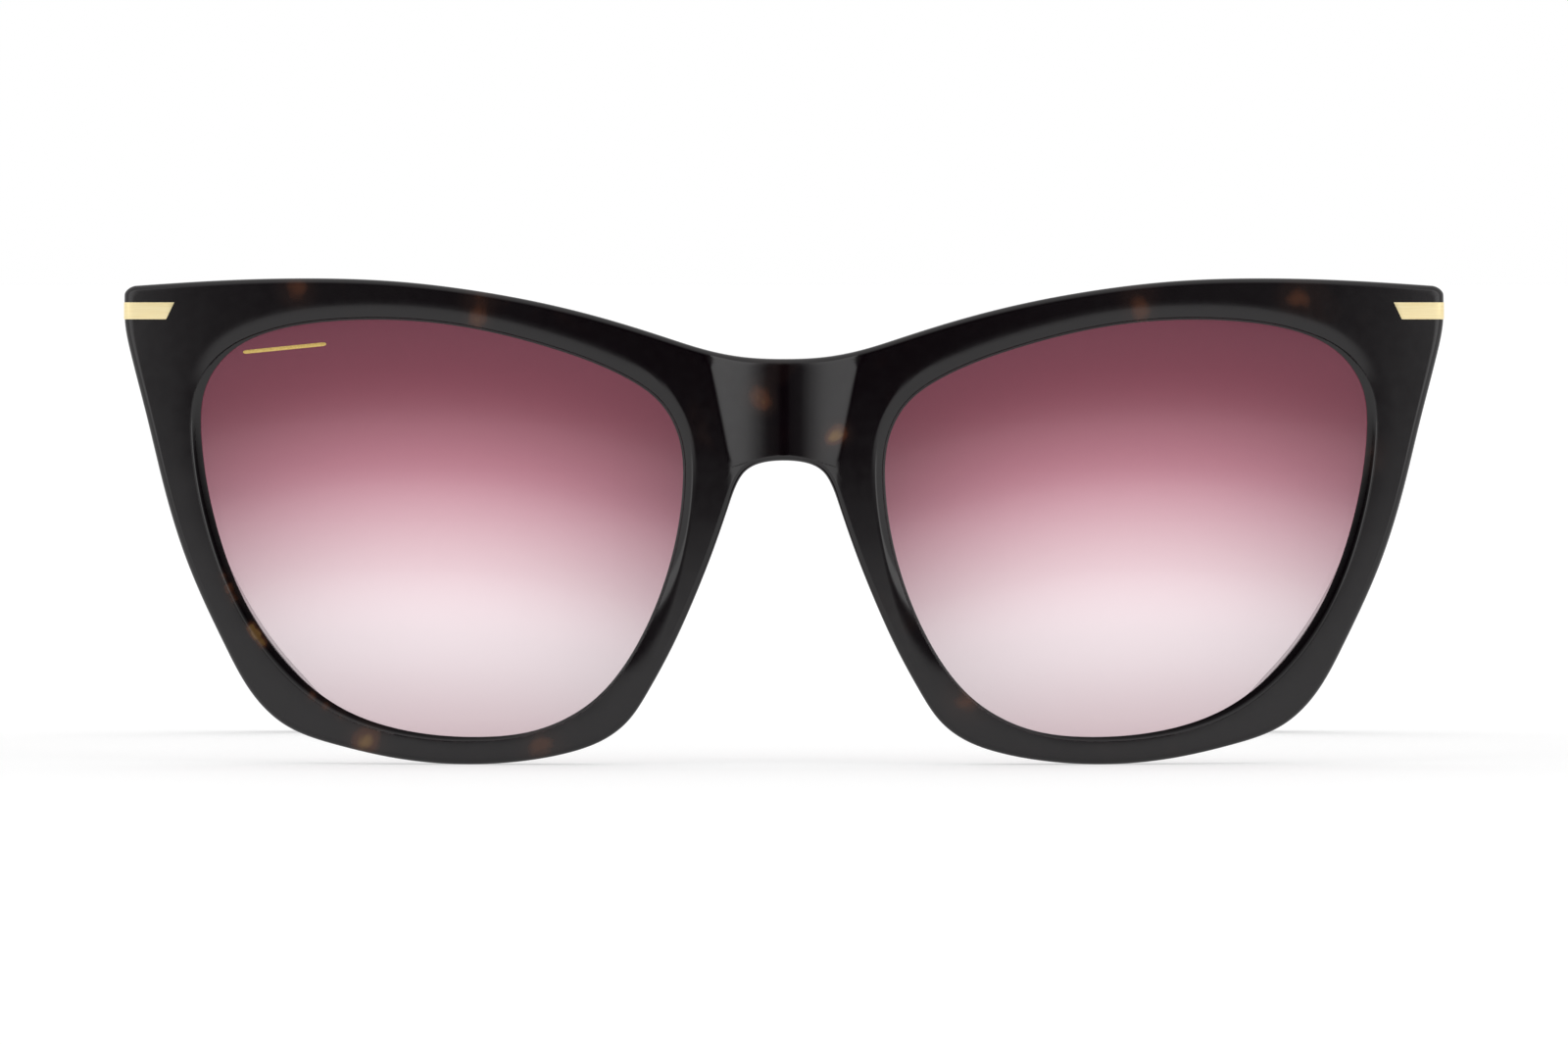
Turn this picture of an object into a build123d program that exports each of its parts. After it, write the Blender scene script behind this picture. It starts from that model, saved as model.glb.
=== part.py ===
"""Cat eye sunglasses, built as seventeen separate pieces.

Millimetres. +X runs along the front towards the wearer's left, +Y from the front back to the
ears, +Z up. x = 0 is the mirror plane and z = 0 is the table that the open frame stands on, on
both rims and both temple tips. y = 0 is half way from the bridge to the temple tips.

The pieces are modelled on the wearer's left (x > 0) with y counted back from the foremost point
of the front. The wearer's right is their mirror image, and everything is moved to the final
origin when it is written.
"""
from build123d import *
from math import radians, sqrt, tan
import os

# ---- overall sizes -------------------------------------------------------------------------
FRONT_WIDTH = 142.1          # acetate front, corner to corner
FRONT_HEIGHT = 52.15         # rim bottoms to the highest point of the brow line
BASE_RADIUS = 265.0          # plan curve of the front face, about the wearer's head
FRONT_THICKNESS = 4.8        # acetate sheet of the front
OVERALL_DEPTH = 148.0        # front of the bridge to the temple tips

# ---- outlines, seen from the front, drawn for a front of these two sizes --------------------
OUTLINE_HALF_WIDTH = 71.05
OUTLINE_HEIGHT = 52.15
BROW_LINE = [(0, 43.5), (4.2, 43.7), (8.4, 44.5), (12.6, 45.8), (18.9, 47.75), (25.2, 49.35),
             (33.6, 50.9), (42.0, 51.85), (51.5, 52.15), (60.0, 51.95), (69.8, 51.35)]
SIDE_AND_NOSE_LINE = [(71.05, 50.3), (71.0, 47.4), (70.4, 44.2), (68.5, 36.8), (66.7, 29.5),
                      (64.0, 21.1), (60.1, 12.6), (57.1, 7.4), (53.8, 4.25), (48.3, 2.1),
                      (41.5, 0.6), (34.0, 0), (28.6, 0.3), (23.2, 1.25), (19.2, 2.75),
                      (16.9, 4.5), (14.6, 7.8), (12.3, 12.0), (9.6, 17.9), (7.6, 22.95),
                      (5.85, 28.0), (4.9, 30.4), (4.2, 31.4), (3.15, 32.1), (1.6, 32.5),
                      (0, 32.6)]
LENS_LINE = [(10.85, 29.9), (11.2, 34.8), (13.2, 38.7), (17.0, 41.5), (25.1, 44.7),
             (36.2, 47.2), (44.4, 47.7), (50.0, 47.4), (54.9, 46.5), (59.2, 44.5), (62.2, 40.5),
             (62.7, 35.0), (61.0, 25.3), (58.0, 17.4), (53.5, 10.8), (47.4, 5.9), (40.0, 3.45),
             (32.3, 2.9), (27.8, 3.35), (24.0, 4.6), (20.5, 6.8), (15.5, 13.3), (12.35, 21.1)]

# ---- bridge --------------------------------------------------------------------------------
BRIDGE_RELIEF_TOP = 8.1      # half width of the milled-back bridge face at the brow
BRIDGE_RELIEF_BOTTOM = 5.9   # half width of it at the nose arch
BRIDGE_RELIEF_DEPTH = 0.9

# ---- lenses --------------------------------------------------------------------------------
LENS_THICKNESS = 2.0
LENS_SETBACK = 1.9           # front face of the rim to the front face of the lens
LENS_BITE = 0.6              # how far the lens edge reaches into the groove
LENS_CLEARANCE = 0.05        # between the lens and its groove

# ---- end pieces, where the temples meet the front -------------------------------------------
LUG_WIDTH = 9.05             # along x, in from the corner
LUG_STEP = 0.55              # how far the lug stands behind the rim's back at the corner
LUG_HEIGHT = 10.7            # from the brow's highest point down to the lug's lower face

# ---- corner trims --------------------------------------------------------------------------
TRIM_HEIGHT = 1.85
TRIM_DROP = 2.58             # brow's highest point to the trim's upper edge
TRIM_TOP_LENGTH = 5.45       # along the front at the trim's upper edge
TRIM_BOTTOM_LENGTH = 4.55    # along the front at its lower edge, which ends in a slant
TRIM_SIDE_LENGTH = 4.0       # round the corner, back along the side
TRIM_THICKNESS = 0.6
TRIM_PROUD = 0.05            # how far the trim stands out of the acetate
TRIM_CLEARANCE = 0.03        # between the trim and its recess
TRIM_PEG_RADIUS = 0.4
TRIM_PEG_LENGTH = 1.0
TRIM_PEG_INSETS = (1.6, 3.4)  # from the corner, along x

# ---- nose pads -----------------------------------------------------------------------------
PAD_LINE = [(8.6, 26.3), (10.5, 20.6), (12.7, 15.2), (15.2, 10.6)]
PAD_HALF_WIDTHS = [1.2, 1.55, 1.6, 1.3]
PAD_DEPTH = 4.2              # back from the rim's back face
PAD_EDGE_RADIUS = 0.9
GLUE_LINE = 0.02

# ---- hinges --------------------------------------------------------------------------------
KNUCKLE_RADIUS = 1.75
KNUCKLE_COUNT = 5
KNUCKLE_HEIGHT = 1.3
KNUCKLE_GAP = 0.05           # between two knuckles
KNUCKLE_STANDOFF = 0.15      # between a knuckle and the other half's face
HINGE_DROP = 6.0             # brow's highest point to the middle of the knuckles
KNUCKLE_INSET = 0.3          # from the temple's inner face to the knuckles
LEAF_THICKNESS = 0.8
LEAF_CLEARANCE = 0.02        # between a leaf and its pocket
LEAF_MARGIN = 0.3            # leaf beyond the knuckles, up and down
FRONT_LEAF_WIDTH = 6.8
TEMPLE_LEAF_LENGTH = 11.0
PEG_RADIUS = 0.6
FRONT_PEG_LENGTH = 1.4
TEMPLE_PEG_WALL = 0.25       # between a temple peg and the core wire
SCREW_RADIUS = 0.7
SCREW_CLEARANCE = 0.04       # shank in the knuckles it turns in
THREAD_CLEARANCE = 0.015     # thread in the lowest knuckle, drawn plain
SCREW_HEAD_RADIUS = 1.25
SCREW_HEAD_HEIGHT = 0.55
SCREW_SLOT_WIDTH = 0.3
SCREW_SLOT_DEPTH = 0.25

# ---- temples -------------------------------------------------------------------------------
TEMPLE_THICKNESS = 3.8
TEMPLE_INSET = 2.95          # from the front's corner in to the middle of the temple
BUTT_GAP = 0.05              # between temple and lug when open
TEMPLE_TILT = 9.0            # degrees that the arm runs down from the front
BEND_DEPTH = 110.0           # front of the bridge to the ear bend
EAR_BEND_RADIUS = 24.0
TIP_RADIUS = 4.1
# position along the arm, and half height there
TEMPLE_HEIGHTS = [(0.0, 4.75), (0.3, 3.75), (0.55, 3.2), (0.68, 3.1), (0.8, 3.5), (0.92, 4.05)]
BOW_TOP = 33.0               # height where the arm starts to bow in towards the head
# from there down: how far the arm's middle lies in from its upper run, and its height
TEMPLE_BOW = [(1.2, 24.5), (4.0, 16.8), (8.3, 9.2), (12.5, 4.1), (17.0, -0.5)]
CORE_WIDTH = 1.0             # across the arm
CORE_HEIGHT = 1.6
CORE_CLEARANCE = 0.05
CORE_END = 0.95              # position along the arm where the wire stops

# ---- worked out from the sizes above --------------------------------------------------------
HALF_WIDTH = FRONT_WIDTH / 2
WIDTH_SCALE = HALF_WIDTH / OUTLINE_HALF_WIDTH
HEIGHT_SCALE = FRONT_HEIGHT / OUTLINE_HEIGHT


def front_face_y(x, depth=0.0):
    """How far back a face lies at x, when it runs depth inside the front's face."""
    radius = BASE_RADIUS - depth
    return BASE_RADIUS - sqrt(radius ** 2 - x ** 2)


JOINT_Y = front_face_y(HALF_WIDTH, FRONT_THICKNESS) + LUG_STEP
TEMPLE_X = HALF_WIDTH - TEMPLE_INSET
TEMPLE_INNER_X = TEMPLE_X - TEMPLE_THICKNESS / 2
PIN_X = TEMPLE_INNER_X - KNUCKLE_INSET - KNUCKLE_RADIUS
PIN_Y = JOINT_Y + KNUCKLE_RADIUS + KNUCKLE_STANDOFF
HINGE_Z = FRONT_HEIGHT - HINGE_DROP
TEMPLE_PEG_LENGTH = (TEMPLE_THICKNESS - CORE_WIDTH) / 2 - LEAF_THICKNESS - TEMPLE_PEG_WALL
STACK_HEIGHT = KNUCKLE_COUNT * KNUCKLE_HEIGHT + (KNUCKLE_COUNT - 1) * KNUCKLE_GAP
STACK_BOTTOM = HINGE_Z - STACK_HEIGHT / 2
LEAF_HEIGHT = STACK_HEIGHT + 2 * LEAF_MARGIN
TRIM_TOP_Z = FRONT_HEIGHT - TRIM_DROP
REACH = OVERALL_DEPTH + FRONT_WIDTH   # longer than anything that is cut
FRONT_VIEW = Plane.XZ
SIDE_VIEW = Plane.YZ


# ---- helpers -------------------------------------------------------------------------------
def scaled(points):
    """Outline points, stretched to the front's width and height."""
    return [(x * WIDTH_SCALE, z * HEIGHT_SCALE) for x, z in points]


def through_front(face):
    """A face drawn in the front view, extruded back through everything."""
    near = Pos(0, -REACH, 0) * face
    return extrude(near, amount=2 * REACH, dir=(0, 1, 0))


def block(x0, x1, y0, y1, z0, z1):
    """A box by its low and high corners."""
    box = Box(x1 - x0, y1 - y0, z1 - z0, align=(Align.MIN, Align.MIN, Align.MIN))
    return Pos(x0, y0, z0) * box


def upright(x, y, radius, z0, z1):
    """A vertical cylinder."""
    bar = Cylinder(radius, z1 - z0, align=(Align.CENTER, Align.CENTER, Align.MIN))
    return Pos(x, y, z0) * bar


def peg(x, y, z, radius, length, direction):
    """A cylinder from a point along a direction."""
    return extrude(Plane((x, y, z), z_dir=direction) * Circle(radius), amount=length)


def inside_face(depth):
    """Everything behind the face that runs depth inside the front's face."""
    return upright(0, BASE_RADIUS, BASE_RADIUS - depth, -FRONT_HEIGHT, 2 * FRONT_HEIGHT)


def curved_sheet(near, far):
    """The curved layer between two depths inside the front's face."""
    return inside_face(near) - inside_face(far)


def offset_points(view, curve, stations):
    """Points beside a curve drawn in a view: a station is (position along it, distance to its
    left, as that view's plane is seen)."""
    points = []
    for position, distance in stations:
        left = view.z_dir.cross(curve % position).normalized()
        points.append((curve @ position) + left * distance)
    return points


def ribbon(view, curve, stations):
    """The face that follows a curve, as half-wide as its stations say, with square ends."""
    left = offset_points(view, curve, stations)
    right = offset_points(view, curve, [(position, -width) for position, width in stations])
    return make_face([Spline(left), Line(left[-1], right[-1]), Spline(right),
                      Line(right[0], left[0])])


def even_ribbon(view, curve, half_width, end=1.0, steps=20):
    """A ribbon of one width along a curve, up to a position on it."""
    return ribbon(view, curve, [(end * i / steps, half_width) for i in range(steps + 1)])


def both_sides(part):
    """A piece of the wearer's left and its mirror image on the right."""
    return [("left", part), ("right", mirror(part, about=Plane.YZ))]


# ---- front ---------------------------------------------------------------------------------
def front_outline():
    """The front seen from the front, both halves."""
    brow = FRONT_VIEW * Spline(scaled(BROW_LINE), tangents=((1, 0), (1, -0.07)))
    side = FRONT_VIEW * Spline(scaled(SIDE_AND_NOSE_LINE), tangents=((0, -1), (-1, 0)))
    corner = Spline([brow @ 1, side @ 0], tangents=(brow % 1, side % 0))
    half = [brow, corner, side]
    return make_face(half + [mirror(edge, about=Plane.YZ) for edge in half])


def lens_face(growth):
    """One lens opening seen from the front, grown outwards. Its line runs clockwise, so that
    its outside is on its left."""
    curve = FRONT_VIEW * Spline(scaled(LENS_LINE), periodic=True)
    steps = 60
    grown = offset_points(FRONT_VIEW, curve, [(i / steps, growth) for i in range(steps)])
    return make_face(Spline(grown, periodic=True))


def bridge_relief():
    """The shallow milled-back face between the rims, with slanted sides."""
    brow_z = BROW_LINE[0][1] * HEIGHT_SCALE
    arch_z = SIDE_AND_NOSE_LINE[-1][1] * HEIGHT_SCALE
    half = [(BRIDGE_RELIEF_BOTTOM, 0), (BRIDGE_RELIEF_BOTTOM, arch_z),
            (BRIDGE_RELIEF_TOP, brow_z), (BRIDGE_RELIEF_TOP, FRONT_HEIGHT)]
    mirrored = [(-x, z) for x, z in reversed(half)]
    window = make_face(FRONT_VIEW * Polyline(*half, *mirrored, close=True))
    return through_front(window) & curved_sheet(-1, BRIDGE_RELIEF_DEPTH)


def front_leaf_pocket(growth):
    """The front hinge's leaf, or with growth its pocket in the lug."""
    outer = PIN_X - KNUCKLE_RADIUS + FRONT_LEAF_WIDTH
    leaf = block(PIN_X - KNUCKLE_RADIUS - growth, outer + growth,
                 JOINT_Y - LEAF_THICKNESS - growth, JOINT_Y,
                 HINGE_Z - LEAF_HEIGHT / 2 - growth, HINGE_Z + LEAF_HEIGHT / 2 + growth)
    middle = (PIN_X - KNUCKLE_RADIUS + outer) / 2
    for dx, dz in ((-2, -2), (-2, 2), (2, -2), (2, 2)):
        leaf += peg(middle + dx, JOINT_Y - LEAF_THICKNESS / 2, HINGE_Z + dz,
                    PEG_RADIUS + growth, LEAF_THICKNESS / 2 + FRONT_PEG_LENGTH + growth,
                    (0, -1, 0))
    return leaf


def corner_trim(growth):
    """The corner trim, or with growth its recess in the acetate."""
    outer = inside_face(-TRIM_PROUD - growth) & block(
        0, HALF_WIDTH + TRIM_PROUD + growth, -1, REACH, -1, 2 * FRONT_HEIGHT)
    inset = TRIM_THICKNESS - TRIM_PROUD + growth
    inner = inside_face(inset) & block(0, HALF_WIDTH - inset, -1, REACH, -2, 3 * FRONT_HEIGHT)
    corner_y = front_face_y(HALF_WIDTH)
    bottom = TRIM_TOP_Z - TRIM_HEIGHT
    window = [(HALF_WIDTH - TRIM_TOP_LENGTH - growth, TRIM_TOP_Z + growth),
              (HALF_WIDTH + 1, TRIM_TOP_Z + growth),
              (HALF_WIDTH + 1, bottom - growth),
              (HALF_WIDTH - TRIM_BOTTOM_LENGTH - growth, bottom - growth)]
    band = through_front(make_face(FRONT_VIEW * Polyline(*window, close=True)))
    band &= block(0, REACH, -1, corner_y + TRIM_SIDE_LENGTH + growth, -1, 2 * FRONT_HEIGHT)
    trim = (outer - inner) & band
    for peg_inset in TRIM_PEG_INSETS:
        x = HALF_WIDTH - peg_inset
        trim += peg(x, front_face_y(x, TRIM_THICKNESS / 2), TRIM_TOP_Z - TRIM_HEIGHT / 2,
                    TRIM_PEG_RADIUS + growth, TRIM_THICKNESS / 2 + TRIM_PEG_LENGTH + growth,
                    (0, 1, 0))
    return trim


def front_frame():
    """The acetate front: rims, bridge and the lugs that the temples close against."""
    outline = through_front(front_outline())
    front = outline & curved_sheet(0, FRONT_THICKNESS)
    lug = block(HALF_WIDTH - LUG_WIDTH, REACH, 0, JOINT_Y, FRONT_HEIGHT - LUG_HEIGHT, REACH)
    for _, side_lug in both_sides(lug):
        front += side_lug & outline & inside_face(FRONT_THICKNESS / 2)
    front -= bridge_relief()
    opening = through_front(lens_face(0))
    groove = through_front(lens_face(LENS_BITE + LENS_CLEARANCE)) & curved_sheet(
        LENS_SETBACK - LENS_CLEARANCE, LENS_SETBACK + LENS_THICKNESS + LENS_CLEARANCE)
    cuts = opening + groove + corner_trim(TRIM_CLEARANCE) + front_leaf_pocket(LEAF_CLEARANCE)
    for _, cut in both_sides(cuts):
        front -= cut
    return front


def lens():
    """One sun lens, with its edge in the rim's groove."""
    return through_front(lens_face(LENS_BITE)) & curved_sheet(
        LENS_SETBACK, LENS_SETBACK + LENS_THICKNESS)


def nose_pad():
    """One acetate pad, glued to the back of the rim beside the nose."""
    line = FRONT_VIEW * Spline(scaled(PAD_LINE))
    last = len(PAD_HALF_WIDTHS) - 1
    stations = [(i / last, width) for i, width in enumerate(PAD_HALF_WIDTHS)]
    pad = through_front(ribbon(FRONT_VIEW, line, stations))
    pad &= curved_sheet(FRONT_THICKNESS + GLUE_LINE, FRONT_THICKNESS + PAD_DEPTH)
    back = pad.faces().sort_by(Axis.Y)[-1]
    return fillet(back.edges(), PAD_EDGE_RADIUS)


# ---- hinges --------------------------------------------------------------------------------
def knuckle_span(index):
    """Lower and upper height of a knuckle, counted from the lowest."""
    low = STACK_BOTTOM + index * (KNUCKLE_HEIGHT + KNUCKLE_GAP)
    return low, low + KNUCKLE_HEIGHT


def front_hinge():
    """The leaf in the lug, with the outer and middle knuckles."""
    hinge = front_leaf_pocket(0)
    for index in range(0, KNUCKLE_COUNT, 2):
        low, high = knuckle_span(index)
        hinge += block(PIN_X - KNUCKLE_RADIUS, PIN_X + KNUCKLE_RADIUS,
                       JOINT_Y - LEAF_THICKNESS / 2, PIN_Y, low, high)
        hinge += upright(PIN_X, PIN_Y, KNUCKLE_RADIUS, low, high)
        bore = SCREW_RADIUS + (THREAD_CLEARANCE if index == 0 else SCREW_CLEARANCE)
        hinge -= upright(PIN_X, PIN_Y, bore, low - KNUCKLE_GAP, high + KNUCKLE_GAP)
    return hinge


def temple_leaf_pocket(growth):
    """The temple hinge's leaf, or with growth its pocket in the temple."""
    front_end = JOINT_Y + BUTT_GAP
    leaf = block(TEMPLE_INNER_X, TEMPLE_INNER_X + LEAF_THICKNESS + growth,
                 front_end, front_end + TEMPLE_LEAF_LENGTH + growth,
                 HINGE_Z - LEAF_HEIGHT / 2 - growth, HINGE_Z + LEAF_HEIGHT / 2 + growth)
    for dy in (TEMPLE_LEAF_LENGTH * 0.35, TEMPLE_LEAF_LENGTH * 0.8):
        leaf += peg(TEMPLE_INNER_X + LEAF_THICKNESS / 2, front_end + dy, HINGE_Z,
                    PEG_RADIUS + growth, LEAF_THICKNESS / 2 + TEMPLE_PEG_LENGTH + growth,
                    (1, 0, 0))
    return leaf


def temple_hinge():
    """The leaf in the temple, with the two knuckles between the front hinge's three."""
    hinge = temple_leaf_pocket(0)
    for index in range(1, KNUCKLE_COUNT, 2):
        low, high = knuckle_span(index)
        hinge += block(PIN_X, TEMPLE_INNER_X + LEAF_THICKNESS / 2,
                       PIN_Y - KNUCKLE_RADIUS, PIN_Y + KNUCKLE_RADIUS, low, high)
        hinge += upright(PIN_X, PIN_Y, KNUCKLE_RADIUS, low, high)
        hinge -= upright(PIN_X, PIN_Y, SCREW_RADIUS + SCREW_CLEARANCE,
                         low - KNUCKLE_GAP, high + KNUCKLE_GAP)
    return hinge


def hinge_screw():
    """The slotted screw that is the hinge's pin, with its head on the top knuckle."""
    top = STACK_BOTTOM + STACK_HEIGHT
    screw = upright(PIN_X, PIN_Y, SCREW_RADIUS, STACK_BOTTOM, top + SCREW_HEAD_HEIGHT / 2)
    screw += upright(PIN_X, PIN_Y, SCREW_HEAD_RADIUS, top, top + SCREW_HEAD_HEIGHT)
    return screw - block(PIN_X - SCREW_HEAD_RADIUS, PIN_X + SCREW_HEAD_RADIUS,
                         PIN_Y - SCREW_SLOT_WIDTH / 2, PIN_Y + SCREW_SLOT_WIDTH / 2,
                         top + SCREW_HEAD_HEIGHT - SCREW_SLOT_DEPTH, top + SCREW_HEAD_HEIGHT)


# ---- temples -------------------------------------------------------------------------------
def arm_line():
    """The middle of the arm seen from the side: a straight run, the ear bend and the tip."""
    slope = tan(radians(TEMPLE_TILT))
    start_y = JOINT_Y - FRONT_THICKNESS
    start = (start_y, HINGE_Z + slope * FRONT_THICKNESS)
    bend = (BEND_DEPTH, HINGE_Z - slope * (BEND_DEPTH - JOINT_Y))
    tip = (OVERALL_DEPTH - TIP_RADIUS, TIP_RADIUS)
    return SIDE_VIEW * FilletPolyline(start, bend, tip, radius=EAR_BEND_RADIUS)


def arm_side_view():
    """The arm's outline seen from the side, with a round tip that stands on the table."""
    line = arm_line()
    stations = TEMPLE_HEIGHTS + [(1.0, TIP_RADIUS)]
    upper = offset_points(SIDE_VIEW, line, stations)
    lower = offset_points(SIDE_VIEW, line, [(position, -half) for position, half in stations])
    along = line % 1
    tip = (line @ 1) + along * TIP_RADIUS
    start = line % 0
    edges = [Spline(upper, tangents=(start, along)), ThreePointArc(upper[-1], tip, lower[-1]),
             Spline(lower, tangents=(start, along)), Line(upper[0], lower[0])]
    return make_face(edges)


def arm_front_view(half_thickness):
    """The arm's band seen from the front: upright, then bowed in towards the head."""
    start = (TEMPLE_X, BOW_TOP * HEIGHT_SCALE)
    bowed = [(TEMPLE_X - bow, z * HEIGHT_SCALE) for bow, z in TEMPLE_BOW]
    down = Spline([start, *bowed], tangents=((0, -1), (-0.72, -0.70)))
    run = FRONT_VIEW * Line((TEMPLE_X, 2 * FRONT_HEIGHT), start)
    upright_band = even_ribbon(FRONT_VIEW, run, half_thickness)
    return upright_band + even_ribbon(FRONT_VIEW, FRONT_VIEW * down, half_thickness)


def behind(y):
    """Everything behind a depth."""
    return block(0, REACH, y, REACH, -REACH, REACH)


def core_channel(growth):
    """The core wire, or with growth the channel that it leaves in the arm."""
    wire = even_ribbon(SIDE_VIEW, arm_line(), CORE_HEIGHT / 2 + growth, end=CORE_END)
    side = extrude(wire, amount=REACH, dir=(1, 0, 0))
    band = through_front(arm_front_view(CORE_WIDTH / 2 + growth))
    return side & band & behind(JOINT_Y + BUTT_GAP)


def temple():
    """One acetate arm, with its core wire's channel and the pocket for its hinge leaf."""
    side = extrude(arm_side_view(), amount=REACH, dir=(1, 0, 0))
    arm = side & through_front(arm_front_view(TEMPLE_THICKNESS / 2))
    arm &= behind(JOINT_Y + BUTT_GAP)
    return arm - core_channel(CORE_CLEARANCE) - temple_leaf_pocket(LEAF_CLEARANCE)


# ---- writing -------------------------------------------------------------------------------
def write(name, part):
    """One piece to its own file, moved to the final origin."""
    placed = Pos(0, -OVERALL_DEPTH / 2, 0) * part
    solids = placed.solids()
    shape = solids[0] if len(solids) == 1 else Compound(children=solids)
    export_step(shape, f"parts/{name}.step")
    box = shape.bounding_box()
    print(f"{name}: {len(solids)} solid, x {box.min.X:.2f}..{box.max.X:.2f},"
          f" y {box.min.Y:.2f}..{box.max.Y:.2f}, z {box.min.Z:.2f}..{box.max.Z:.2f}")


os.makedirs("parts", exist_ok=True)
write("front_frame", front_frame())
paired_pieces = {
    "lens": lens(),
    "nose_pad": nose_pad(),
    "corner_trim": corner_trim(0),
    "front_hinge": front_hinge(),
    "hinge_screw": hinge_screw(),
    "temple": temple(),
    "temple_hinge": temple_hinge(),
    "temple_core": core_channel(0),
}
for piece_name, piece in paired_pieces.items():
    for side_name, sided_piece in both_sides(piece):
        write(f"{side_name}_{piece_name}", sided_piece)
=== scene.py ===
"""The looks of the cat eye sunglasses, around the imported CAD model.

The pieces' sizes are in millimetres, and what the materials and the studio read is in metres.
+X is the wearer's left, +Y runs from the front back to the ears, +Z up. The pieces are worked
out with y counted back from the foremost point of the bridge, as a maker's drawing has it, and
moved to their place when they are made.
"""

import bpy
import numpy as np
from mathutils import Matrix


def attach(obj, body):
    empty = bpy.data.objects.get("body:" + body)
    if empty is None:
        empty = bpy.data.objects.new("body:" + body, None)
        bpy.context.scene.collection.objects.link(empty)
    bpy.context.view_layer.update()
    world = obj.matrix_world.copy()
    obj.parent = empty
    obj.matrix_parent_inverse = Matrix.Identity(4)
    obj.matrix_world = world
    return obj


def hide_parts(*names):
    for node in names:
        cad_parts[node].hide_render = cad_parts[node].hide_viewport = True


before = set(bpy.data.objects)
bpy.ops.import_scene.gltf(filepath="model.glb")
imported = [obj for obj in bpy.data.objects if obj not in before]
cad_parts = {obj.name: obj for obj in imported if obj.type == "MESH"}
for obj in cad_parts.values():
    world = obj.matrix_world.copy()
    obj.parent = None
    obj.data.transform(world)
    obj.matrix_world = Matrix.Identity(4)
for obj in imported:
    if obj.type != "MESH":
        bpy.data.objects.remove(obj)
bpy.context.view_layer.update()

# ---- acetate front --------------------------------------------------------------------------
# The front is one sheet of tortoise cellulose acetate, milled to its outline, bent to a base
# curve and tumble polished. Each opening has a soft bevel and a stepped seat for its lens, the
# bridge is scooped out, and lugs at the back of the corners carry the hinges.

BASE_RADIUS = 265.0          # plan curve of the front face
FRONT_THICKNESS = 4.8
HALF_WIDTH = 71.05
JOINT_Y = 15.239             # back of the lugs
FRONT_Y = -74.0              # where the foremost point of the bridge lies in the frame
BROW_LINE = [(0, 43.5), (4.2, 43.7), (8.4, 44.5), (12.6, 45.8), (18.9, 47.75), (25.2, 49.35),
             (33.6, 50.9), (42.0, 51.85), (51.5, 52.15), (60.0, 51.95), (69.8, 51.35)]
SIDE_AND_NOSE_LINE = [(71.05, 50.3), (71.0, 47.4), (70.4, 44.2), (68.5, 36.8), (66.7, 29.5),
                      (64.0, 21.1), (60.1, 12.6), (57.1, 7.4), (53.8, 4.25), (48.3, 2.1),
                      (41.5, 0.6), (34.0, 0), (28.6, 0.3), (23.2, 1.25), (19.2, 2.75),
                      (16.9, 4.5), (14.6, 7.8), (12.3, 12.0), (9.6, 17.9), (7.6, 22.95),
                      (5.85, 28.0), (4.9, 30.4), (4.2, 31.4), (3.15, 32.1), (1.6, 32.5),
                      (0, 32.6)]
LENS_LINE = [(10.85, 29.9), (11.2, 34.8), (13.2, 38.7), (17.0, 41.5), (25.1, 44.7),
             (36.2, 47.2), (44.4, 47.7), (50.0, 47.4), (54.9, 46.5), (59.2, 44.5), (62.2, 40.5),
             (62.7, 35.0), (61.0, 25.3), (58.0, 17.4), (53.5, 10.8), (47.4, 5.9), (40.0, 3.45),
             (32.3, 2.9), (27.8, 3.35), (24.0, 4.6), (20.5, 6.8), (15.5, 13.3), (12.35, 21.1)]
LENS_MIDDLE = (37.0, 26.0)
CROWN_RADIUS = 600.0         # the polished face also falls back gently, above and below
CROWN_MIDDLE = 16.0          # this height
FRONT_EDGE_RADIUS = 0.6
BACK_EDGE_RADIUS = 0.7
LUG_EDGE_RADIUS = 0.15
SEAT_EDGE_RADIUS = 0.45      # back edge of each opening
BEVEL_DEPTHS = (0.03, 0.45, 0.11)   # all round, added beside the nose, added under the brow
BEVEL_WIDTHS = (1.9, 0.8)    # all round, and beside the nose, where it is a crisp chamfer
BEVEL_POWERS = (2.2, 1.2)    # how fast it steepens towards the lens, at the same two places
BEVEL_SHARE = 0.8            # of the rim's width, at most
NOSE_FACING = (0.35, 0.85)   # the chamfer begins and is full as the edge turns to the nose,
LOW_FACING = (0.15, 0.6)     # and fades out as the edge turns down
BROW_FACING = (0.0, 0.9)     # the brow's share begins and is full as the edge turns up
SEAT_STEPS = (0.3, 1.2)      # how far the bevel stands off the lens: at the nose, at the temple
STEP_FACING = (0.95, -0.3)   # the way, out and up, that the widest step faces
STEP_POWER = 1.2
SCOOP_HALF_WIDTHS = (5.9, 8.1)   # at the nose arch and at the brow
SCOOP_SLOPE = 0.395          # of its two flanks
SCOOP_ROUND = 2.1            # half width of the round bottom between them
SCOOP_CREASE = 0.03          # softens its edge
LUG_INNER_X = (61.2, 62.3)   # foot and top of the ramp on to the lug
LUG_LOWER_Z = (41.1, 42.3)
LUG_SINK = 0.03              # the hinge leaf stands this proud of the polished lug
GROOVE_DEPTHS = (1.85, 3.95)
GROOVE_REACH = 0.65
RIM_RAYS = 430               # the mesh runs along rays from the lens to the outline,
MIRROR_RAYS = 50             # and between the rims to the mirror plane
RAY_CROWDING = 0.08          # gathers those towards the brow and the nose arch
CORNER_REACH = 2.0           # within this of the mirror plane the edges' directions blend
RAY_EVENING = 6              # neighbours each way that a ray's bearing is averaged with
FACE_RINGS = 25
BACK_RINGS = 32
CREASE_CROWDING = 1.7        # gathers the face's rings towards the scoop's edge,
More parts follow.
